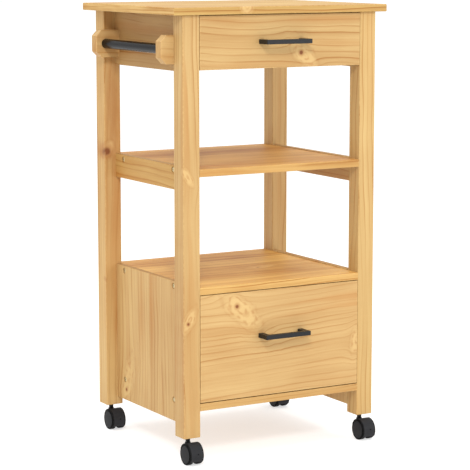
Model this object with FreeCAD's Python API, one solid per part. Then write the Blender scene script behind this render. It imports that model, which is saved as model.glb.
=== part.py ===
"""Kitchen island cart: pine frame, two drawers, a mid shelf, a side towel rail and four twin-wheel casters.

Millimetres, +Z up, +X to the cart's right, front at -Y.  Everything is laid out about the middle of the
four legs at floor level, then moved so that the origin is under the centre of the overall box.
"""
import FreeCAD
import Part
import math
import os

from FreeCAD import Vector

# ---------------------------------------------------------------- driving dimensions
TOP_Z = 900.0                # floor to the worktop
TOP_THICK = 15.0
TOP_HALF_X = 245.0
TOP_FRONT_Y = -196.5
TOP_BACK_Y = 203.5

LEG = 37.0                   # square section
LEG_EASE = 1.3
LEG_X = 222.5                # outer side faces of the legs
LEG_Y = 188.5                # front and back faces of the legs
LEG_FOOT_Z = 52.5            # underside of the legs, above the casters

PANEL = 12.0                 # side boards and back boards
SHELF = 15.0                 # shelf boards and drawer fronts
TOP_PANEL_Z = (773.5, 885.0)
MID_RAIL_Z = (539.0, 588.0)
CABINET_PANEL_Z = (69.0, 354.8)
MID_SHELF_Z = 571.0          # undersides of the three boards
CABINET_TOP_Z = 337.5
CABINET_BOTTOM_Z = 105.0

FRONT_HALF_X = 184.8         # drawer fronts
FRONT_EASE = 0.6
UPPER_FRONT_Z = (778.5, 883.5)
LOWER_FRONT_Z = (121.8, 336.2)
BOX_HALF_X = 181.5           # outer faces of the drawer sides
BOX_WALL = 12.0
BOX_BACK_Y = 160.0
BOX_BOTTOM = 3.0
BOTTOM_GROOVE = 5.0
UPPER_BOX_Z = (786.0, 870.0)
LOWER_BOX_Z = (132.0, 312.0)
RUNNER_HIGH = 12.0
RUNNER_PLAY = 0.1            # above and below the runner in its groove
RUNNER_GROOVE = 6.0
RUNNER_Y = (-168.0, 150.0)
UPPER_RUNNER_Z = 828.0
LOWER_RUNNER_Z = 222.0

HANDLE_HALF = 52.0           # handle bars
HANDLE_REACH = 32.0
HANDLE_BAR = (10.0, 9.0)     # depth, height
HANDLE_POST = 12.0
UPPER_HANDLE_Z = 831.0
LOWER_HANDLE_Z = 245.0

RAIL_R = 10.0                # towel rail
RAIL_X = -228.0
RAIL_Z = 818.0
RAIL_SEAT = 12.0
BRACKET_X = -250.0
BRACKET_THICK = 22.0
BRACKET_HIGH = 56.0
BRACKET_CHAMFER = 12.0

SHELF_SCREW_Y = (-100.0, 116.0)
SHELF_SCREW_SINK = 3.0       # how far the heads sit below the faces
BRACKET_SCREW_DZ = (-17.0, 17.0)
BRACKET_SCREW_SINK = 2.5
RUNNER_SCREW_Y = (-130.0, -10.0, 120.0)
RUNNER_LEFT = 6.0            # wood between a runner screw's head and the side board
BOX_SCREW_SINK = 2.0
BOX_SCREW_INSET = 12.0
SHELF_SCREW = (5.2, 2.6, 2.5, 44.0)          # head radius, head height, shank radius, length
BRACKET_SCREW = (4.0, 2.3, 2.0, 32.0)
RUNNER_SCREW = (3.2, 2.0, 1.75, 15.0)
BOX_SCREW = (3.2, 2.0, 1.75, 30.0)
HANDLE_SCREW = (4.0, 2.6, 2.0, SHELF + 10.0)

DOWEL_R = 3.0
DOWEL_LONG = 30.0
DOWEL_INSET = 14.0           # most that a side board's end dowels sit in from its edges
BACK_DOWEL_Z = (795.0, 863.0, 145.0, 229.0, 313.0)
FIT = 0.05                   # radial clearance round pins, screws and dowels

WHEEL_R = 21.0               # casters
WHEEL_IN = 5.6               # inner and outer faces of each wheel, from the middle of the caster
WHEEL_OUT = 16.5
AXLE_TRAIL = 17.0
AXLE_R = 2.5
HOOD_R = (21.4, 22.6)
HOOD_HALF = 14.5
HOOD_ARC = (22.0, 125.0, 214.0)              # start, middle and end, in degrees about the axle
WEB_HALF = 5.2
WEB_UNDER_Z = 8.0
BOSS_R = 6.2
BOSS_TOP_Z = 41.9
DIMPLE_R = 1.6
DIMPLE_AT = 172.0
STEM_R = 4.0
COLLAR_R = 4.7
STEM_BASE_Z = 26.0
SOCKET_R = 6.0
SOCKET_FLANGE = (8.0, 1.5)   # radius, thickness
SOCKET_LONG = 30.0
SOCKET_CAP = 3.0

# ---------------------------------------------------------------- derived dimensions
LEG_IN_X = LEG_X - LEG
LEG_IN_Y = LEG_Y - LEG
LEG_MID_X = LEG_X - LEG / 2
LEG_MID_Y = LEG_Y - LEG / 2
PANEL_OUT_X = LEG_IN_X + PANEL
PANEL_MID_X = LEG_IN_X + PANEL / 2
BACK_IN_Y = LEG_Y - PANEL
FRONT_IN_Y = SHELF - LEG_Y
BAR_FRONT_Y = -LEG_Y - HANDLE_REACH
TOP_UNDER_Z = TOP_Z - TOP_THICK
RAIL_HALF_LONG = LEG_IN_Y - BRACKET_THICK + RAIL_SEAT
SHIFT = Vector(-(BRACKET_X + TOP_HALF_X) / 2, -(BAR_FRONT_Y + TOP_BACK_Y) / 2, 0)

X = Vector(1, 0, 0)
Y = Vector(0, 1, 0)
Z = Vector(0, 0, 1)
SIDES = {"left": -1, "right": 1}
ENDS = {"front": -1, "rear": 1}


# ---------------------------------------------------------------- shapes
def span(a, b):
    return (min(a, b), max(a, b))


def edge_axis(edge):
    t = edge.tangentAt(edge.FirstParameter)
    sizes = [abs(t.x), abs(t.y), abs(t.z)]
    return "XYZ"[sizes.index(max(sizes))]


def board(x, y, z, ease=0.0, along="XYZ"):
    """Box between (low, high) pairs; the edges that run along the given axes are eased."""
    box = Part.makeBox(x[1] - x[0], y[1] - y[0], z[1] - z[0], Vector(x[0], y[0], z[0]))
    if not ease:
        return box
    return box.makeFillet(ease, [e for e in box.Edges if edge_axis(e) in along])


def rod(start, direction, radius, length):
    return Part.makeCylinder(radius, length, start, direction)


def turned(profile, start, direction):
    """Solid of revolution from (radius, height) points, standing at start along direction."""
    points = [Vector(r, 0, h) for r, h in profile]
    face = Part.Face(Part.makePolygon(points + [points[0]]))
    solid = face.revolve(Vector(0, 0, 0), Z, 360)
    solid.Placement = FreeCAD.Placement(start, FreeCAD.Rotation(Z, direction))
    return solid


def bored(shape, cutters):
    return shape.cut(Part.makeCompound(cutters)) if cutters else shape


def screw(seat, direction, size):
    """Cross-head screw: the head stands behind the seat, the shank runs along direction."""
    head_r, head_high, shank_r, length = size
    profile = [(0, -head_high), (head_r * 0.6, -head_high), (head_r, -head_high * 0.55), (head_r, 0),
               (shank_r, 0), (shank_r, length - 3), (0.4, length), (0, length)]
    body = turned(profile, Vector(0, 0, 0), Z)
    arm = head_r * 0.5
    slots = [Part.makeBox(2 * arm, 1, 1.4, Vector(-arm, -0.5, -head_high)),
             Part.makeBox(1, 2 * arm, 1.4, Vector(-0.5, -arm, -head_high))]
    body = bored(body, slots)
    body.Placement = FreeCAD.Placement(seat, FreeCAD.Rotation(Z, direction))
    return body


def screws(seats, size):
    return Part.makeCompound([screw(seat, direction, size) for seat, direction in seats])


def screw_holes(seats, size, head_room, sink):
    """A hole for the shank ahead of each seat and a round recess for the head behind it."""
    head_r, head_high, shank_r, length = size
    holes = []
    for seat, direction in seats:
        holes.append(rod(seat, direction, shank_r + FIT, length + 1))
        holes.append(rod(seat - direction * sink, direction, head_r + head_room, sink))
    return holes


def save(node, shape):
    shape.translated(SHIFT).exportStep("parts/%s.step" % node)


# ---------------------------------------------------------------- dowels
def panel_dowels():
    """Dowels from the side boards' ends into the legs, as (middle, direction) pairs."""
    levels = [(TOP_PANEL_Z, 2), (MID_RAIL_Z, 2), (CABINET_PANEL_Z, 3)]
    found = []
    for sx in SIDES.values():
        for sy in ENDS.values():
            for (low, high), count in levels:
                inset = min(DOWEL_INSET, (high - low) * 0.25)
                step = (high - low - 2 * inset) / (count - 1)
                for i in range(count):
                    found.append((Vector(sx * PANEL_MID_X, sy * LEG_IN_Y, low + inset + i * step), Y))
    return found


def back_dowels():
    """Dowels from the two back boards' ends into the rear legs."""
    found = []
    for sx in SIDES.values():
        for z in BACK_DOWEL_Z:
            found.append((Vector(sx * LEG_IN_X, LEG_Y - PANEL / 2, z), X))
    return found


def top_dowels():
    """One dowel from each leg up into the worktop, two thirds of it in the leg."""
    z = TOP_UNDER_Z - DOWEL_LONG / 6
    return [(Vector(sx * LEG_MID_X, sy * LEG_MID_Y, z), Z)
            for sx in SIDES.values() for sy in ENDS.values()]


def drawer_dowels(box_z, runner_z):
    """Dowels that join a drawer's sides to its front, clear of the runner groove."""
    middle_y = FRONT_IN_Y + DOWEL_LONG / 6
    levels = [box_z[0] + 22, box_z[1] - 15]
    if box_z[1] - box_z[0] > 120:
        levels.append(runner_z + 30)
    return [(Vector(sx * (BOX_HALF_X - BOX_WALL / 2), middle_y, z), Y)
            for sx in SIDES.values() for z in levels]


def dowel(middle, direction, extra=0.0):
    return rod(middle - direction * (DOWEL_LONG / 2), direction, DOWEL_R + extra, DOWEL_LONG)


FRAME_DOWELS = panel_dowels() + back_dowels() + top_dowels()
FRAME_HOLES = [dowel(p, d, FIT) for p, d in FRAME_DOWELS]


def near(cutters, shape):
    """The cutters that reach into a shape's own box."""
    return [c for c in cutters if c.BoundBox.intersect(shape.BoundBox)]


# ---------------------------------------------------------------- screws
SHELVES = {"mid_shelf": MID_SHELF_Z, "cabinet_top_board": CABINET_TOP_Z,
           "cabinet_bottom_board": CABINET_BOTTOM_Z}


def shelf_screw_seats():
    """Seat point and inward direction of each screw through a side board into a shelf board."""
    return [(Vector(sx * (PANEL_OUT_X - SHELF_SCREW_SINK), y, z + SHELF / 2), X * -sx)
            for sx in SIDES.values() for y in SHELF_SCREW_Y for z in SHELVES.values()]


def bracket_screw_seats():
    """Two screws from inside the left side board into each towel rail bracket."""
    middle = LEG_IN_Y - BRACKET_THICK / 2
    return [(Vector(-LEG_IN_X - BRACKET_SCREW_SINK, sy * middle, RAIL_Z + dz), X * -1)
            for sy in ENDS.values() for dz in BRACKET_SCREW_DZ]


def runner_screw_seats(runner_z):
    """Three screws through each runner into its side board."""
    return [(Vector(sx * (LEG_IN_X - RUNNER_LEFT), y, runner_z), X * sx)
            for sx in SIDES.values() for y in RUNNER_SCREW_Y]


SHELF_SCREW_HOLES = screw_holes(shelf_screw_seats(), SHELF_SCREW, 0.8, SHELF_SCREW_SINK + 1)
BRACKET_SCREW_HOLES = screw_holes(bracket_screw_seats(), BRACKET_SCREW, FIT, BRACKET_SCREW_SINK + 0.5)
RUNNER_SEATS = runner_screw_seats(UPPER_RUNNER_Z) + runner_screw_seats(LOWER_RUNNER_Z)
RUNNER_SCREW_HOLES = screw_holes(RUNNER_SEATS, RUNNER_SCREW, FIT, 4.0)


# ---------------------------------------------------------------- frame
def make_frame():
    top = board((-TOP_HALF_X, TOP_HALF_X), (TOP_FRONT_Y, TOP_BACK_Y), (TOP_UNDER_Z, TOP_Z), 2.0)
    save("tabletop", bored(top, near(FRAME_HOLES, top)))

    for end, sy in ENDS.items():
        for side, sx in SIDES.items():
            x = span(sx * LEG_X, sx * LEG_IN_X)
            y = span(sy * LEG_Y, sy * LEG_IN_Y)
            leg = board(x, y, (LEG_FOOT_Z, TOP_UNDER_Z), LEG_EASE)
            foot = Vector(sx * LEG_MID_X, sy * LEG_MID_Y, LEG_FOOT_Z)
            flange_r, flange_high = SOCKET_FLANGE
            socket = [rod(foot, Z, SOCKET_R + FIT, SOCKET_LONG), rod(foot, Z, flange_r + FIT, flange_high)]
            save("leg_%s_%s" % (end, side), bored(leg, near(FRAME_HOLES, leg) + socket))

    between_legs = (-LEG_IN_Y, LEG_IN_Y)
    side_boards = {"top_side_panel": TOP_PANEL_Z, "mid_side_rail": MID_RAIL_Z,
                   "cabinet_side_panel": CABINET_PANEL_Z}
    holes = FRAME_HOLES + SHELF_SCREW_HOLES + BRACKET_SCREW_HOLES + RUNNER_SCREW_HOLES
    for name, z in side_boards.items():
        for side, sx in SIDES.items():
            panel = board(span(sx * LEG_IN_X, sx * PANEL_OUT_X), between_legs, z, 1.0, "Y")
            save("%s_%s" % (name, side), bored(panel, near(holes, panel)))

    for name, z in SHELVES.items():
        shelf = board((-LEG_IN_X, LEG_IN_X), (-LEG_Y, LEG_Y), (z, z + SHELF), 1.5, "X")
        save(name, bored(shelf, near(SHELF_SCREW_HOLES, shelf)))

    cabinet_z = (CABINET_BOTTOM_Z + SHELF, CABINET_TOP_Z)
    back_z = {"top_back_panel": TOP_PANEL_Z, "cabinet_back_panel": cabinet_z}
    for name, z in back_z.items():
        panel = board((-LEG_IN_X, LEG_IN_X), (BACK_IN_Y, LEG_Y), z, 1.0, "X")
        save(name, bored(panel, near(FRAME_HOLES, panel)))

    save("frame_dowels", Part.makeCompound([dowel(p, d) for p, d in FRAME_DOWELS]))
    save("shelf_screws", screws(shelf_screw_seats(), SHELF_SCREW))


def make_runners():
    reach = BOX_HALF_X - RUNNER_GROOVE + 0.5
    half = RUNNER_HIGH / 2
    strips = []
    for z in (UPPER_RUNNER_Z, LOWER_RUNNER_Z):
        for sx in SIDES.values():
            strip = board(span(sx * reach, sx * LEG_IN_X), RUNNER_Y, (z - half, z + half), 0.8, "Y")
            strips.append(bored(strip, near(RUNNER_SCREW_HOLES, strip)))
    save("drawer_runners", Part.makeCompound(strips))
    save("runner_screws", screws(RUNNER_SEATS, RUNNER_SCREW))


def make_towel_rail():
    low_z = RAIL_Z - BRACKET_HIGH / 2
    high_z = RAIL_Z + BRACKET_HIGH / 2
    c = BRACKET_CHAMFER
    outline = [(-PANEL_OUT_X, low_z), (BRACKET_X + c, low_z), (BRACKET_X, low_z + c),
               (BRACKET_X, high_z - c), (BRACKET_X + c, high_z), (-PANEL_OUT_X, high_z)]
    start = Vector(RAIL_X, -RAIL_HALF_LONG, RAIL_Z)
    rail = rod(start, Y, RAIL_R, 2 * RAIL_HALF_LONG)
    bore = rod(start, Y, RAIL_R + FIT, 2 * RAIL_HALF_LONG)
    for end, sy in ENDS.items():
        y = span(sy * LEG_IN_Y, sy * (LEG_IN_Y - BRACKET_THICK))
        points = [Vector(px, y[0], pz) for px, pz in outline]
        block = Part.Face(Part.makePolygon(points + [points[0]])).extrude(Y * BRACKET_THICK)
        block = block.makeFillet(1.2, [e for e in block.Edges if e.BoundBox.XMax < -PANEL_OUT_X - 1])
        save("towel_bracket_%s" % end, bored(block, [bore] + near(BRACKET_SCREW_HOLES, block)))
    save("towel_rail", rail.makeFillet(1.0, [e for e in rail.Edges if edge_axis(e) != "Y"]))
    save("towel_bracket_screws", screws(bracket_screw_seats(), BRACKET_SCREW))


# ---------------------------------------------------------------- drawers
def handle(z):
    """Square-section bow handle with a blind threaded hole up each post."""
    depth, high = HANDLE_BAR
    zs = (z - high / 2, z + high / 2)
    bar = board((-HANDLE_HALF, HANDLE_HALF), (BAR_FRONT_Y, BAR_FRONT_Y + depth), zs)
    for sx in SIDES.values():
        post = board(span(sx * HANDLE_HALF, sx * (HANDLE_HALF - HANDLE_POST)), (BAR_FRONT_Y, -LEG_Y), zs)
        bar = bar.fuse(post)
    bar = bar.removeSplitter()
    inner = HANDLE_HALF - HANDLE_POST
    uprights = [e for e in bar.Edges if edge_axis(e) == "Z" and e.BoundBox.Center.y < -LEG_Y - 5]
    inner_corners = [e for e in uprights if abs(abs(e.BoundBox.Center.x) - inner) < 0.1]
    bar = bar.makeFillet(2.0, inner_corners)
    bar = bar.makeFillet(0.9, [e for e in bar.Edges if e.BoundBox.YMin < -LEG_Y - 1])
    thread_r = HANDLE_SCREW[2] + FIT
    holes = [rod(Vector(sx * (HANDLE_HALF - HANDLE_POST / 2), -LEG_Y, z), Y * -1, thread_r, 12.0)
             for sx in SIDES.values()]
    return bored(bar, holes)


def make_drawer(name, front_z, box_z, runner_z, handle_z):
    inner_x = BOX_HALF_X - BOX_WALL
    bottom_z = (box_z[0] + 8, box_z[0] + 8 + BOX_BOTTOM)
    bottom_x = inner_x + BOTTOM_GROOVE
    bottom_y = (FRONT_IN_Y - BOTTOM_GROOVE, BOX_BACK_Y)
    dowels = drawer_dowels(box_z, runner_z)
    holes = [dowel(p, d, FIT) for p, d in dowels]
    bottom_slot = board((-bottom_x, bottom_x), bottom_y, bottom_z)

    screw_seats = [(Vector(sx * (HANDLE_HALF - HANDLE_POST / 2), FRONT_IN_Y, handle_z), Y * -1)
                   for sx in SIDES.values()]
    handle_holes = [rod(s, d, HANDLE_SCREW[2] + FIT, SHELF) for s, d in screw_seats]
    front = board((-FRONT_HALF_X, FRONT_HALF_X), (-LEG_Y, FRONT_IN_Y), front_z, FRONT_EASE)
    save("%s_front" % name, bored(front, holes + handle_holes + [bottom_slot]))

    back_y = (BOX_BACK_Y - BOX_WALL, BOX_BACK_Y)
    corner_z = [bottom_z[1] + BOX_SCREW_INSET, box_z[1] - BOX_SCREW_INSET]
    corner_seats = [(Vector(sx * (BOX_HALF_X - BOX_SCREW_SINK), BOX_BACK_Y - BOX_WALL / 2, z), X * -sx)
                    for sx in SIDES.values() for z in corner_z]
    corner_holes = screw_holes(corner_seats, BOX_SCREW, FIT, BOX_SCREW_SINK + 1)

    groove = RUNNER_HIGH / 2 + RUNNER_PLAY
    for side, sx in SIDES.items():
        wall = board(span(sx * inner_x, sx * BOX_HALF_X), (FRONT_IN_Y, BOX_BACK_Y), box_z, 1.0, "Y")
        track = board(span(sx * (BOX_HALF_X - RUNNER_GROOVE), sx * (BOX_HALF_X + 1)),
                      (FRONT_IN_Y, BOX_BACK_Y + 1), (runner_z - groove, runner_z + groove))
        cutters = near(holes + corner_holes, wall) + [track, bottom_slot]
        save("%s_side_%s" % (name, side), bored(wall, cutters))

    back = board((-inner_x, inner_x), back_y, (bottom_z[1], box_z[1]), 1.0, "X")
    save("%s_back" % name, bored(back, near(corner_holes, back)))
    save("%s_bottom" % name, bottom_slot)
    save("%s_dowels" % name, Part.makeCompound([dowel(p, d) for p, d in dowels]))
    save("%s_box_screws" % name, screws(corner_seats, BOX_SCREW))
    save("%s_handle" % name, handle(handle_z))
    save("%s_handle_screws" % name, screws(screw_seats, HANDLE_SCREW))


# ---------------------------------------------------------------- casters
def polar(radius, degrees):
    """Point on a circle about the axle, seen from the side; 0 degrees is to the rear, 90 is up."""
    a = math.radians(degrees)
    return Vector(0, radius * math.cos(a) - AXLE_TRAIL, WHEEL_R + radius * math.sin(a))


def hood_shell():
    start, middle, end = HOOD_ARC
    inner, outer = HOOD_R
    edges = [Part.Arc(polar(outer, start), polar(outer, middle), polar(outer, end)).toShape(),
             Part.makeLine(polar(outer, end), polar(inner, end)),
             Part.Arc(polar(inner, end), polar(inner, middle), polar(inner, start)).toShape(),
             Part.makeLine(polar(inner, start), polar(outer, start))]
    return Part.Face(Part.Wire(edges)).extrude(X * (2 * HOOD_HALF)).translated(X * -HOOD_HALF)


def caster_housing():
    """Hood over both wheels, a web between them and a boss round the stem."""
    axle = Vector(0, -AXLE_TRAIL, WHEEL_R)
    web = rod(axle - X * WEB_HALF, X, (HOOD_R[0] + HOOD_R[1]) / 2, 2 * WEB_HALF)
    web = web.cut(board((-30, 30), (-60, 30), (-5, WEB_UNDER_Z)))
    boss = rod(Vector(0, 0, STEM_BASE_Z - 2), Z, BOSS_R, BOSS_TOP_Z - STEM_BASE_Z + 2)
    boss = boss.makeChamfer(0.8, [e for e in boss.Edges if e.BoundBox.ZMin > BOSS_TOP_Z - 0.1])
    for sx in SIDES.values():
        wheel_room = rod(axle + X * (sx * WEB_HALF), X * sx, HOOD_R[0], 20)
        boss = boss.cut(wheel_room)
    body = hood_shell().fuse([web, boss]).removeSplitter()
    dimple = rod(polar(HOOD_R[1] + 2, DIMPLE_AT) + X * 2.5, axle - polar(1, DIMPLE_AT), DIMPLE_R, 2.6)
    return bored(body, [rod(Vector(0, 0, STEM_BASE_Z), Z, STEM_R + FIT, 30), dimple,
                        rod(axle - X * 10, X, AXLE_R, 20)])


def caster_wheel(sx):
    """Cup-shaped wheel; a deep groove parts its rim from the slightly domed outer disc."""
    r = WHEEL_R
    inner = WHEEL_IN
    outer = WHEEL_OUT
    bore = AXLE_R + FIT
    profile = [(0, 13.6), (bore, 13.6), (bore, inner), (5.2, inner), (5.2, 12.4), (16.6, 12.4), (16.6, inner),
               (r - 1, inner), (r - 0.3, inner + 0.4), (r, inner + 1.2), (r, outer - 2.2),
               (r - 0.3, outer - 1.3), (r - 1.0, outer - 0.8), (19.5, outer - 0.8), (19.3, outer - 2.6),
               (18.0, outer - 2.6), (17.7, outer - 0.6), (13.0, outer - 0.3), (7.0, outer - 0.05), (0, outer)]
    return turned(profile, Vector(0, -AXLE_TRAIL, WHEEL_R), X * sx)


def caster_stem():
    base = STEM_BASE_Z
    neck = BOSS_TOP_Z + 0.1
    tip = LEG_FOOT_Z + SOCKET_LONG - SOCKET_CAP
    profile = [(0, base), (STEM_R - 0.6, base), (STEM_R, base + 0.6), (STEM_R, neck), (COLLAR_R, neck),
               (COLLAR_R, LEG_FOOT_Z), (STEM_R, LEG_FOOT_Z), (STEM_R, tip), (0, tip)]
    return turned(profile, Vector(0, 0, 0), Z)


def caster_socket():
    foot = LEG_FOOT_Z
    flange_r, flange_high = SOCKET_FLANGE
    roof = foot + SOCKET_LONG
    bore = STEM_R + FIT
    profile = [(bore, foot), (flange_r, foot), (flange_r, foot + flange_high), (SOCKET_R, foot + flange_high),
               (SOCKET_R, roof), (0, roof), (0, roof - SOCKET_CAP), (bore, roof - SOCKET_CAP)]
    return turned(profile, Vector(0, 0, 0), Z)


def make_casters():
    stems = []
    sockets = []
    for end, sy in ENDS.items():
        for side, sx in SIDES.items():
            at = Vector(sx * LEG_MID_X, sy * LEG_MID_Y, 0)
            name = "caster_%s_%s" % (end, side)
            save("%s_housing" % name, caster_housing().translated(at))
            axle = rod(Vector(-13.4, -AXLE_TRAIL, WHEEL_R), X, AXLE_R, 26.8)
            save("%s_axle" % name, axle.translated(at))
            for wheel_side, wx in SIDES.items():
                save("%s_wheel_%s" % (name, wheel_side), caster_wheel(wx).translated(at))
            stems.append(caster_stem().translated(at))
            sockets.append(caster_socket().translated(at))
    save("caster_stems", Part.makeCompound(stems))
    save("caster_sockets", Part.makeCompound(sockets))


os.makedirs("parts", exist_ok=True)
make_frame()
make_runners()
make_towel_rail()
make_drawer("upper_drawer", UPPER_FRONT_Z, UPPER_BOX_Z, UPPER_RUNNER_Z, UPPER_HANDLE_Z)
make_drawer("lower_drawer", LOWER_FRONT_Z, LOWER_BOX_Z, LOWER_RUNNER_Z, LOWER_HANDLE_Z)
make_casters()
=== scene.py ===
"""Looks of the kitchen island cart: pine boards, black fittings and casters, in a plain pale studio.

Lengths are in metres. Patterns are laid out in the frame at rest, so they stay with their piece at
every pose.
"""
import bpy
import math
from mathutils import Euler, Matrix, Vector


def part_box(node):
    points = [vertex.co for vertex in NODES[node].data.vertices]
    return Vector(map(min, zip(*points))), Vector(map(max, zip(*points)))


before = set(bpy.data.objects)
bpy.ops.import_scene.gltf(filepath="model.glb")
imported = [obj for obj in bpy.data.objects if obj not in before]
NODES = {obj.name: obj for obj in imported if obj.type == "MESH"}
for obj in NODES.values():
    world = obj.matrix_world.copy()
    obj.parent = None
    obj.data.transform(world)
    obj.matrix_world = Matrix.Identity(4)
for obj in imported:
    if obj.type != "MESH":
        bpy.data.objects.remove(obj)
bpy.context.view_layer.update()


# ---------------------------------------------------------------- small node-tree language
class Tree:
    """Builds shader nodes with short calls; any input may be a number, a tuple or another node's output."""

    def __init__(self, tree):
        self.tree = tree

    def make(self, kind, inputs=None, out=0, **settings):
        node = self.tree.nodes.new(kind)
        for key, value in settings.items():
            setattr(node, key, value)
        for key, value in (inputs or {}).items():
            self.feed(node.inputs[key], value)
        return node.outputs[out] if node.outputs else node

    def feed(self, socket, value):
        if isinstance(value, bpy.types.NodeSocket):
            self.tree.links.new(value, socket)
        else:
            socket.default_value = value

    def math(self, operation, a, b=0.0, clamp=False):
        return self.make("ShaderNodeMath", {0: a, 1: b}, operation=operation, use_clamp=clamp)

    def add(self, a, b):
        return self.math("ADD", a, b)

    def sub(self, a, b):
        return self.math("SUBTRACT", a, b)

    def mul(self, a, b):
        return self.math("MULTIPLY", a, b)

    def invert(self, a):
        return self.sub(1.0, a)

    def highest(self, a, b):
        return self.math("MAXIMUM", a, b)

    def length(self, *parts):
        """Root of the sum of squares."""
        total = 0.0
        for part in parts:
            total = self.add(total, self.mul(part, part))
        return self.math("SQRT", total)

    def swing(self, value, reach):
        """A 0 to 1 value turned into an offset about zero, reach wide from end to end."""
        return self.mul(self.sub(value, 0.5), reach)

    def step(self, value, low, high):
        """Smooth step from 0 at low to 1 at high."""
        return self.make("ShaderNodeMapRange", {"Value": value, "From Min": low, "From Max": high},
                         interpolation_type="SMOOTHSTEP")

    def place(self):
        """Position in the frame at rest."""
        return self.make("ShaderNodeTexCoord", out=3)

    def normal(self):
        return self.make("ShaderNodeNewGeometry", out=1)

    def xyz(self, vector):
        node = self.tree.nodes.new("ShaderNodeSeparateXYZ")
        self.feed(node.inputs[0], vector)
        return node.outputs[0], node.outputs[1], node.outputs[2]

    def vector(self, x, y, z):
        return self.make("ShaderNodeCombineXYZ", {0: x, 1: y, 2: z})

    def noise(self, vector, scale=1.0, detail=2.0, rough=0.5):
        return self.make("ShaderNodeTexNoise", {"Vector": vector, "Scale": scale, "Detail": detail,
                                                "Roughness": rough})

    def grain(self, place, scales, detail=2.0, rough=0.5):
        """Noise with its own scale along each direction."""
        stretched = [self.mul(part, scale) for part, scale in zip(place, scales)]
        return self.noise(self.vector(*stretched), 1.0, detail, rough)

    def chance(self, key, out=0):
        """Hashed value (out 0) or colour (out 1), fixed by its key."""
        return self.make("ShaderNodeTexWhiteNoise", {"W": key}, noise_dimensions="1D", out=out)

    def bump(self, height, strength, distance):
        return self.make("ShaderNodeBump", {"Strength": strength, "Distance": distance, "Height": height})

    def mix(self, amount, a, b, blend="MIX"):
        node = self.tree.nodes.new("ShaderNodeMix")
        node.data_type = "RGBA"
        node.blend_type = blend
        self.feed(node.inputs[0], amount)
        self.feed(node.inputs[6], a)
        self.feed(node.inputs[7], b)
        return node.outputs[2]


def new_material(name):
    material = bpy.data.materials.new(name)
    material.use_nodes = True
    material.node_tree.nodes.clear()
    return material, Tree(material.node_tree)


def finish_material(t, inputs):
    shader = t.make("ShaderNodeBsdfPrincipled", inputs)
    t.make("ShaderNodeOutputMaterial", {"Surface": shader})


def colour(r, g, b):
    """Linear colour from 8-bit sRGB numbers."""
    def linear(v):
        v = v / 255
        return v / 12.92 if v <= 0.04045 else ((v + 0.055) / 1.055) ** 2.4
    return (linear(r), linear(g), linear(b), 1.0)


def tinted(shade, tint):
    return tuple(min(1.0, v * k) for v, k in zip(shade, tint)) + (1.0,)


def dress(node, material):
    mesh = NODES[node].data
    mesh.materials.clear()
    mesh.materials.append(material)


def middle(node):
    low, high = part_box(node)
    return (low + high) / 2


# ---------------------------------------------------------------- pine: colours and patterns
EARLY = colour(196, 164, 111)
LATE = colour(153, 104, 50)
AMBER = colour(172, 116, 58)
FLAME = colour(203, 172, 116)
EMBER = colour(150, 88, 38)
KNOT = colour(108, 50, 22)
END_GRAIN = colour(150, 104, 58)

# noise scales per metre: across the board, into it (or the board's key), and along the grain
DRIFT = (4.0, 1.0, 3.4)
RIPPLE = (30.0, 1.0, 9.0)
FADE = (18.0, 1.0, 5.0)
STREAK = (520.0, 520.0, 9.0)
BAND = (55.0, 55.0, 2.2)
FIBRE = (2200.0, 2200.0, 60.0)
BLOTCH = (9.0, 9.0, 6.0)
STRAND = (7.0, 260.0, 2.0)
WARM = (28.0, 28.0, 1.6)
UNEVEN_SCALE = 34.0
WOBBLE_SCALE = 48.0
BREAK_SCALE = 80.0
SCUFF_SCALE = 160.0

SEED_STEP = 7.31             # keeps the hashed values of neighbouring boards apart
LINE_SPACING = 0.013         # growth lines
DRIFT_REACH = 0.034          # how far they wander across the board
RIPPLE_REACH = 0.007
LEAN_REACH = 0.05
UNEVEN_REACH = 1.6           # in line spacings

KNOT_BEND = 0.75             # how strongly the lines part round a knot
KNOT_HOLD = -0.55            # how fast that dies away
KNOT_DEPTH = 1.4             # depth of a knot, in half widths
RING_PITCH = 1.9

ARRIS_REACH = (0.0004, 0.0032)
PINE_BUMP = (0.2, 0.0004)    # strength, distance
FINE_BUMP = (0.2, 0.0003)

# knots are (across, along, half length, half width, lean in degrees, dot radius), in the row frame
KNOTS = {
    "upper_drawer_front": [(0.801, 0.056, 0.034, 0.016, -38.0, 0.0042)],
    "lower_drawer_front": [(0.298, -0.088, 0.050, 0.020, -42.0, 0.0042),
                           (0.212, 0.186, 0.026, 0.014, 80.0, 0.0)],
    "leg_front_left": [(-0.206, 0.290, 0.026, 0.011, 25.0, 0.0034),
                       (-0.209, 0.572, 0.020, 0.008, -30.0, 0.0)],
    "leg_rear_left": [(-0.212, 0.598, 0.017, 0.011, 30.0, 0.0088),
                      (-0.2245, 0.3265, 0.008, 0.005, 0.0, 0.0038)],
    "cabinet_side_panel_left": [(0.112, 0.108, 0.056, 0.021, -20.0, 0.0034)],
    "cabinet_top_board": [(-0.015, 0.057, 0.040, 0.014, 10.0, 0.0034)],
    "tabletop": [(-0.188, -0.081, 0.016, 0.010, 20.0, 0.0),
                 (-0.035, -0.2425, 0.010, 0.012, 0.0, 0.0)],
}
# stains are (across, along, half width, half length, strength), in the row frame
STAINS = {
    "leg_rear_left": [(-0.201, 0.690, 0.019, 0.150, 0.42), (-0.211, 0.597, 0.018, 0.030, 0.42)],
    "leg_front_left": [(-0.2235, 0.240, 0.007, 0.300, 0.26)],
}
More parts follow.
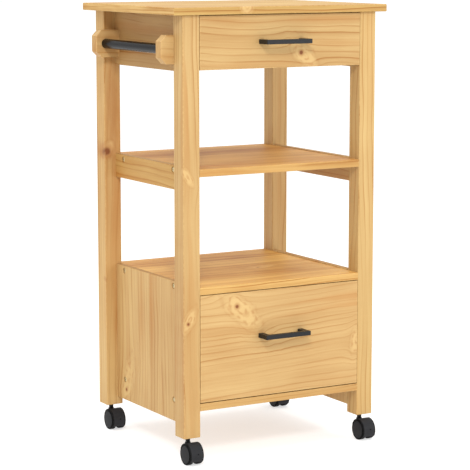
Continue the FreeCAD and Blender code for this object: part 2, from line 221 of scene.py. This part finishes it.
# boards by the start of their name: grain direction, face, width of a glued strip (0 for a single board)
BOARDS = {
    "tabletop": ("X", "Z", 0.068),
    "mid_shelf": ("X", "Z", 0.075),
    "cabinet_top_board": ("X", "Z", 0.07),
    "cabinet_bottom_board": ("X", "Z", 0.08),
    "upper_drawer_front": ("X", "Y", 0.0),
    "lower_drawer_front": ("X", "Y", 0.0),
    "top_back_panel": ("X", "Y", 0.06),
    "cabinet_back_panel": ("X", "Y", 0.07),
    "top_side_panel": ("Y", "X", 0.0),
    "mid_side_rail": ("Y", "X", 0.0),
    "cabinet_side_panel": ("Z", "X", 0.052),
    "leg": ("Z", "Y", 0.0),
    "towel_bracket": ("X", "Y", 0.0),
    "upper_drawer_side": ("Y", "X", 0.0),
    "lower_drawer_side": ("Y", "X", 0.06),
    "upper_drawer_back": ("X", "Y", 0.0),
    "lower_drawer_back": ("X", "Y", 0.06),
}
NO_TINT = (1, 1, 1)
# colour multipliers per board: the board's own tone; on top_side_panel_left also painted shade under the
# tabletop's overhang, on leg_front_right also painted light from the left
BOARD_TONES_AND_PAINTED_LIGHT = {
    "tabletop": (0.89, 0.87, 0.68),
    "mid_shelf": (0.94, 0.85, 0.66),
    "cabinet_top_board": (1.06, 1.00, 0.80),
    "mid_side_rail_left": (0.94, 0.89, 0.70),
    "top_side_panel_left": (0.80, 0.72, 0.65),
    "upper_drawer_front": (0.92, 0.92, 0.90),
    "leg_rear_left": (0.99, 0.97, 0.93),
    "leg_front_left": (0.98, 1.01, 1.02),
    "leg_front_right": (1.03, 1.08, 1.06),
    "cabinet_bottom_board": (0.96, 0.90, 0.78),
    "cabinet_side_panel_left": (0.97, 0.96, 0.94),
}
CAPPED = {"tabletop": (1.02, 1.00, 0.90)}        # end faces with long-grain colour, and its tint
PAINTED_TOP_LIGHT = {                                        # painted light: the upward face tinted lighter, standing in for the light falling on it from above
    "mid_shelf": (1.30, 1.20, 1.02),
    "cabinet_top_board": (1.28, 1.24, 1.06),
}
BOLD = {                                         # contrast of the grain
    "mid_shelf": 1.7,
    "cabinet_top_board": 1.7,
    "tabletop": 1.4,
    "cabinet_side_panel_left": 0.95,
    "leg_front_left": 0.8,
    "leg_front_right": 0.75,
    "leg_rear_right": 0.85,
    "lower_drawer_front": 0.9,
}


# ---------------------------------------------------------------- pine: masks and material
def crosswise(along, face):
    """The axis across the grain in a board's face."""
    return [a for a in "XYZ" if a not in (along, face)][0]


def grain_space(t, along, face):
    """Position as (across the face, into the board, along the grain)."""
    by_name = dict(zip("XYZ", t.xyz(t.place())))
    return by_name[crosswise(along, face)], by_name[face], by_name[along]


def edge_mask(t, node):
    """1 on the arrises of a box-shaped board, falling to 0 a few millimetres away."""
    low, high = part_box(node)
    centre = (low + high) / 2
    gaps = []
    for axis, value in enumerate(t.xyz(t.place())):
        gaps.append(t.sub((high[axis] - low[axis]) / 2, t.math("ABSOLUTE", t.sub(value, centre[axis]))))
    least = t.math("MINIMUM", gaps[0], t.math("MINIMUM", gaps[1], gaps[2]))
    most = t.highest(gaps[0], t.highest(gaps[1], gaps[2]))
    second = t.sub(t.add(gaps[0], t.add(gaps[1], gaps[2])), t.add(least, most))
    return t.invert(t.step(second, *ARRIS_REACH))


def figures(t, a, depth, w, knots):
    """Knots: the across position bent round them, and masks for their flames, rings and cores."""
    bent = a
    flame = rings = core = 0.0
    here = t.vector(a, depth, w)
    wobble = t.noise(here, WOBBLE_SCALE)
    broken = t.step(t.noise(here, BREAK_SCALE, 1.0), 0.34, 0.66)
    for centre_a, centre_w, long, wide, lean, dot in knots:
        c = math.cos(math.radians(lean))
        s = math.sin(math.radians(lean))
        da = t.sub(a, centre_a)
        dw = t.sub(w, centre_w)
        p = t.add(t.mul(dw, c), t.mul(da, s))
        q = t.sub(t.mul(da, c), t.mul(dw, s))
        e = t.length(t.mul(p, 1 / long), t.mul(q, 1 / wide), t.mul(depth, 1 / (wide * KNOT_DEPTH)))
        e = t.add(e, t.swing(wobble, 0.75))
        hold = t.math("EXPONENT", t.mul(t.mul(e, e), KNOT_HOLD))
        bent = t.sub(bent, t.mul(t.mul(da, hold), KNOT_BEND))
        flame = t.highest(flame, t.invert(t.step(e, 0.6, 1.2)))
        wave = t.math("ABSOLUTE", t.sub(t.math("FRACT", t.mul(e, RING_PITCH)), 0.5))
        ring = t.mul(t.invert(t.step(wave, 0.0, 0.42)), t.invert(t.step(e, 1.0, 1.5)))
        rings = t.highest(rings, t.mul(ring, broken))
        if dot:
            away = t.length(t.add(p, long * 0.3), q, t.mul(depth, math.sqrt(0.3)))
            away = t.add(away, t.swing(wobble, dot))
            core = t.highest(core, t.invert(t.step(away, dot * 0.4, dot * 1.3)))
            rings = t.highest(rings, t.invert(t.step(away, dot, dot * 2.4)))
    return bent, flame, rings, core


def stain_mask(t, a, w, stain):
    """A soft brown patch in the board, strongest at its middle, with a broken outline."""
    centre_a, centre_w, wide, long, strength = stain
    away = t.length(t.mul(t.sub(a, centre_a), 1 / wide), t.mul(t.sub(w, centre_w), 1 / long))
    away = t.add(away, t.swing(t.noise(t.vector(t.mul(a, 4.0), 0.0, w), 30.0), 0.8))
    return t.mul(t.invert(t.step(away, 0.2, 1.1)), strength)


def growth_lines(t, a, d, w, bent, key, luck):
    """Unevenly spaced growth lines that drift along the board.

    Returns the warped across position, the broad late wood and its thin dark edge, and the lines' strength.
    """
    luck_x, luck_y, luck_z = luck
    lean = t.mul(t.sub(luck_x, 0.5), t.mul(w, LEAN_REACH))
    u = t.add(t.add(bent, t.mul(d, t.add(0.7, t.mul(luck_z, 1.2)))), lean)
    drift = t.swing(t.grain((a, key, w), DRIFT, 1.0), DRIFT_REACH)
    ripple = t.swing(t.grain((a, key, w), RIPPLE), RIPPLE_REACH)
    u = t.add(u, t.add(drift, ripple))
    uneven = t.noise(t.vector(t.mul(u, UNEVEN_SCALE), key, 0.0), 1.0, 1.0)
    turn = t.mul(t.add(u, t.swing(uneven, LINE_SPACING * UNEVEN_REACH)), 1 / LINE_SPACING)
    turn = t.add(turn, t.mul(luck_y, 5.0))
    phase = t.math("FRACT", turn)
    broad = t.mul(t.step(phase, 0.45, 0.84), t.invert(t.step(phase, 0.88, 1.0)))
    thin = t.mul(t.step(phase, 0.72, 0.86), t.invert(t.step(phase, 0.88, 0.98)))
    line = t.chance(t.add(t.math("FLOOR", turn), key))
    fade = t.step(t.grain((a, key, w), FADE, 1.0), 0.2, 0.62)
    return u, broad, thin, t.mul(t.add(0.25, t.mul(line, 0.75)), fade)


def pine(node, along, face, seed, strip, origin):
    """Satin pine: soft, nearly straight growth lines, glued strips, knots, stains and worn arrises; painted
    light and shade on some boards.
    """
    material, t = new_material("pine_" + node)
    # board tone, with painted shade on top_side_panel_left and painted light on leg_front_right
    tint = BOARD_TONES_AND_PAINTED_LIGHT.get(node, NO_TINT)
    bold = BOLD.get(node, 1.0)
    a, d, w = grain_space(t, along, face)
    cell = t.math("FLOOR", t.mul(t.sub(a, origin), 1 / strip)) if strip else 0.0
    key = t.add(cell, seed * SEED_STEP)
    luck = t.xyz(t.chance(key, out=1))
    front_side = 1 if face == "Z" else 0
    depth = t.sub(d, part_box(node)[front_side]["XYZ".index(face)])
    bent, flame, rings, core = figures(t, a, depth, w, KNOTS.get(node, ()))
    u, broad, thin, strength = growth_lines(t, a, d, w, bent, key, luck)

    streak = t.grain((a, d, w), STREAK, 3.0, 0.6)
    fibre = t.grain((a, d, w), FIBRE)
    blotch = t.grain((a, d, w), BLOTCH)
    band = t.grain((u, d, w), BAND)
    amount = t.mul(t.add(t.mul(broad, 0.26), t.mul(thin, 0.46)), strength)
    amount = t.add(amount, t.add(t.swing(streak, 0.38), t.swing(band, 0.66)))
    amount = t.add(amount, t.swing(blotch, 0.6))
    amount = t.add(t.mul(amount, bold), t.swing(luck[1], 0.22 * bold))
    amount = t.math("ADD", amount, 0.27, clamp=True)
    shade = t.mix(amount, tinted(EARLY, tint), tinted(LATE, tint))

    warm_place = t.vector(t.mul(u, WARM[0]), t.add(t.mul(d, WARM[1]), key), t.mul(w, WARM[2]))
    warm = t.step(t.noise(warm_place), 0.50, 0.78)
    shade = t.mix(t.mul(warm, 0.55), shade, tinted(AMBER, tint))
    for stain in STAINS.get(node, ()):
        shade = t.mix(stain_mask(t, a, w, stain), shade, EMBER)
    shade = t.mix(t.mul(flame, 0.6), shade, FLAME)
    shade = t.mix(t.mul(rings, 0.42), shade, EMBER)
    shade = t.mix(t.mul(core, 0.85), shade, KNOT)
    fine = t.add(0.95, t.mul(fibre, 0.10))
    shade = t.mix(1.0, shade, t.make("ShaderNodeCombineColor", {0: fine, 1: fine, 2: fine}), "MULTIPLY")

    normal = t.xyz(t.normal())
    end_face = t.step(t.math("ABSOLUTE", normal["XYZ".index(along)]), 0.75, 0.98)
    if node in CAPPED:
        strand = t.add(t.grain((a, d, w), STRAND, 3.0, 0.6), t.swing(blotch, 0.5))
        cap = t.mix(t.step(strand, 0.25, 0.85), tinted(EARLY, CAPPED[node]), tinted(LATE, CAPPED[node]))
        shade = t.mix(end_face, shade, cap)
    else:
        shade = t.mix(t.mul(end_face, 0.35), shade, END_GRAIN)
    # painted light: the upward face is made lighter, standing in for the light that falls on it from above
    if node in PAINTED_TOP_LIGHT:
        lit = t.mix(1.0, shade, PAINTED_TOP_LIGHT[node] + (1.0,), "MULTIPLY")
        shade = t.mix(t.step(normal[2], 0.5, 0.9), shade, lit)
    worn = t.mul(edge_mask(t, node), t.step(t.noise(t.place(), SCUFF_SCALE), 0.38, 0.68))
    shade = t.mix(t.mul(worn, 0.30), shade, FLAME)

    height = t.add(t.mul(thin, 0.3), t.add(t.mul(streak, 0.5), t.mul(fibre, 0.4)))
    rough = t.add(t.add(0.46, t.mul(streak, 0.14)), t.add(t.mul(end_face, 0.2), t.mul(worn, 0.12)))
    finish_material(t, {"Base Color": shade, "Roughness": rough, "Specular IOR Level": 0.2,
                        "Normal": t.bump(t.sub(height, core), *PINE_BUMP)})
    return material


# ---------------------------------------------------------------- fittings
RIM_STARTS = (0.0172, 0.0180)        # radius at which a wheel's disc ends and the painted shade of its groove and rim begins
HOOD_EDGE = (0.0118, 0.0140)         # distance from the middle of the hood to its side edges, painted darker as shade
DIMPLE = (0.0025, 0.0031)            # middle of the painted shade in the hood's dimple, across and above the axle
DIMPLE_R = (0.0015, 0.0022)
HOOD_FRONT = 0.015                   # the dimple is on the hood at least this far before the axle
# colour of the painted shade in the wheels' grooves and on the hoods
PAINTED_SHADE_BLACK = colour(3, 3, 3)


def wheel_rim_painted_shade(t, place, wheel):
    """Painted shade: 1 in the groove and on the rim outside a wheel's disc, which are painted near black
    for the groove's shade.
    """
    y, z = t.xyz(place)[1:]
    away = t.length(t.sub(y, middle(wheel).y), t.sub(z, middle(wheel).z))
    return t.step(away, *RIM_STARTS)


def hood_painted_shade(t, place, housing):
    """Painted shade: 1 in the hood's dimple and along its two side edges, which are painted near black for
    their shade.
    """
    x, y, z = t.xyz(place)
    axle = middle(housing.replace("housing", "axle"))
    from_middle = t.sub(x, axle.x)
    edges = t.step(t.math("ABSOLUTE", from_middle), *HOOD_EDGE)
    away = t.length(t.sub(from_middle, DIMPLE[0]), t.sub(z, axle.z + DIMPLE[1]))
    in_front = t.math("LESS_THAN", y, axle.y - HOOD_FRONT)
    return t.highest(edges, t.mul(t.invert(t.step(away, *DIMPLE_R)), in_front))


def speckled(name, base, light, rough, scale, bump, metal=0.0, shine=0.5, painted_shade=None, node=""):
    """Painted, moulded or plated surface: fine mottling in colour, roughness and height, rubbed edges, and
    painted shade near black where a mask is given.
    """
    material, t = new_material(name)
    place = t.place()
    grain = t.noise(place, scale, 3.0, 0.6)
    cloud = t.noise(place, scale * 0.06)
    amount = t.add(t.mul(grain, 0.6), t.mul(cloud, 0.4))
    shade = t.mix(amount, base, light)
    # painted shade: the mask's places darkened to near black
    if painted_shade:
        shade = t.mix(t.mul(painted_shade(t, place, node), 0.94), shade, PAINTED_SHADE_BLACK)
    soft = t.make("ShaderNodeBevel", {"Radius": 0.0008}, samples=4)
    alike = t.make("ShaderNodeVectorMath", {0: soft, 1: t.normal()}, out=1, operation="DOT_PRODUCT")
    rubbed = t.mul(t.invert(t.step(alike, 0.80, 0.99)), t.step(cloud, 0.35, 0.6))
    shade = t.mix(t.mul(rubbed, 0.5), shade, tinted(light, (2.2, 2.2, 2.2)))
    finish_material(t, {"Base Color": shade, "Roughness": t.add(rough, t.swing(amount, 0.25)),
                        "Metallic": metal, "Specular IOR Level": shine,
                        "Normal": t.bump(grain, bump, FINE_BUMP[1])})
    return material


def plain_wood(name, early, late, along):
    """Straight, close-grained wood for dowels, runners and thin plywood."""
    material, t = new_material(name)
    stretch = [0.05 if axis == along else 1 for axis in "XYZ"]
    place = t.vector(*(t.mul(part, k) for part, k in zip(t.xyz(t.place()), stretch)))
    line = t.noise(place, 260.0, 3.0, 0.6)
    flake = t.noise(place, 1300.0)
    shade = t.mix(t.add(t.mul(line, 0.7), t.mul(flake, 0.3)), early, late)
    finish_material(t, {"Base Color": shade, "Roughness": t.add(0.5, t.mul(line, 0.15)),
                        "Normal": t.bump(flake, *FINE_BUMP)})
    return material


def surface(base, light, rough, scale, bump, metal, shine):
    return {"base": colour(*base), "light": colour(*light), "rough": rough, "scale": scale,
            "bump": bump, "metal": metal, "shine": shine}


POWDER_COAT = surface((10, 10, 12), (24, 25, 28), 0.4, 2600.0, 0.25, 0.0, 0.3)
RAIL_PAINT = surface((3, 3, 4), (9, 9, 11), 0.22, 2600.0, 0.2, 0.0, 0.14)
MOULDING = surface((34, 34, 36), (49, 49, 51), 0.42, 1800.0, 0.2, 0.0, 0.07)
WHEEL_MOULDING = surface((28, 28, 29), (42, 42, 44), 0.45, 1500.0, 0.25, 0.0, 0.07)
BLACKENED = surface((16, 16, 17), (36, 35, 34), 0.36, 2000.0, 0.15, 0.6, 0.5)
YELLOW_ZINC = surface((172, 150, 104), (222, 204, 160), 0.3, 2200.0, 0.15, 0.9, 0.5)

STEM_STEEL = speckled("blackened_steel", **BLACKENED)
BEECH = plain_wood("beech", colour(184, 148, 108), colour(158, 118, 80), "Y")

# fittings by a word in their name, the first that fits
FITTINGS = {
    "sockets": speckled("black_moulding", **MOULDING),
    "axle": STEM_STEEL,
    "stems": STEM_STEEL,
    "screws": speckled("yellow_zinc", **YELLOW_ZINC),
    "handle": speckled("black_powder_coat", **POWDER_COAT),
    "towel_rail": speckled("black_rail", **RAIL_PAINT),
    "dowels": BEECH,
    "runners": BEECH,
    "drawer_bottom": plain_wood("plywood", colour(180, 148, 104), colour(150, 114, 74), "X"),
}
# caster mouldings by a word in their name: surface and painted-shade mask, each piece with a material of
# its own
MOULDINGS = {"wheel": (WHEEL_MOULDING, wheel_rim_painted_shade), "housing": (MOULDING, hood_painted_shade)}


def dress_moulding(node):
    look, painted_shade = [MOULDINGS[word] for word in MOULDINGS if word in node][0]
    dress(node, speckled("moulding_" + node, painted_shade=painted_shade, node=node, **look))


def dress_board(node, seed):
    family = max((b for b in BOARDS if node.startswith(b)), key=len)
    along, face, strip = BOARDS[family]
    across = "XYZ".index(crosswise(along, face))
    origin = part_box(node)[0][across]
    dress(node, pine(node, along, face, seed, strip, origin))


def dress_all():
    for seed, node in enumerate(sorted(NODES), start=3):
        fitting = [FITTINGS[word] for word in FITTINGS if word in node]
        if any(word in node for word in MOULDINGS):
            dress_moulding(node)
        elif fitting:
            dress(node, fitting[0])
        else:
            dress_board(node, seed)


# ---------------------------------------------------------------- studio
FLOOR_HALF = 30.0
AIR_STRENGTH = 1.01
# lights: place, point aimed at, side of the square, power in watts
LIGHTS = {
    "over": ((0.0, 0.2, 3.4), (0, 0, 0), 3.0, 60.0),
    "key": ((-1.8, -3.0, 2.8), (0, 0, 0.5), 0.7, 70.0),
    "fill": ((2.2, -3.2, 1.4), (0, 0, 0.5), 2.0, 33.0),
    "side": ((-3.2, 0.3, 1.8), (0, 0, 0.5), 2.0, 7.0),
}
CAMERA_PLACE = (-2.0268, -3.4976, 1.0160)
CAMERA_DOWN = 8.365          # degrees below level
CAMERA_TURN = -30.097        # degrees about the upright, from a view square to the front
LENS = 150.5
SENSOR = 36.0


def add_to_scene(name, data):
    thing = bpy.data.objects.new(name, data)
    bpy.context.scene.collection.objects.link(thing)
    return thing


def area_light(name, place, target, size, power):
    light = bpy.data.lights.new(name, "AREA")
    light.shape = "SQUARE"
    light.size = size
    light.energy = power
    lamp = add_to_scene(name, light)
    lamp.location = place
    lamp.rotation_euler = (Vector(target) - Vector(place)).to_track_quat("-Z", "Y").to_euler()


def floor():
    material, t = new_material("studio_floor")
    shade = t.mix(t.noise(t.place(), 3.0), colour(196, 196, 196), colour(200, 200, 200))
    finish_material(t, {"Base Color": shade, "Roughness": 0.9, "Emission Color": shade,
                        "Emission Strength": 1.0, "Specular IOR Level": 0.0})
    mesh = bpy.data.meshes.new("studio_floor")
    corners = [(x * FLOOR_HALF, y * FLOOR_HALF, 0) for x, y in ((-1, -1), (1, -1), (1, 1), (-1, 1))]
    mesh.from_pydata(corners, [], [(0, 1, 2, 3)])
    mesh.materials.append(material)
    add_to_scene("studio_floor", mesh)


def air():
    world = bpy.data.worlds.new("studio_air")
    world.use_nodes = True
    background = world.node_tree.nodes["Background"]
    background.inputs["Color"].default_value = (1, 1, 1, 1)
    background.inputs["Strength"].default_value = AIR_STRENGTH
    bpy.context.scene.world = world


def camera():
    data = bpy.data.cameras.new("photo_view")
    data.sensor_width = SENSOR
    data.lens = LENS
    data.dof.use_dof = False
    view = add_to_scene("photo_view", data)
    view.location = CAMERA_PLACE
    view.rotation_euler = Euler((math.radians(90 - CAMERA_DOWN), 0, math.radians(CAMERA_TURN)), "XYZ")
    bpy.context.scene.camera = view


bpy.context.scene.view_settings.view_transform = "Standard"
dress_all()
floor()
air()
for name, (place, target, size, power) in LIGHTS.items():
    area_light(name, place, target, size, power)
camera()
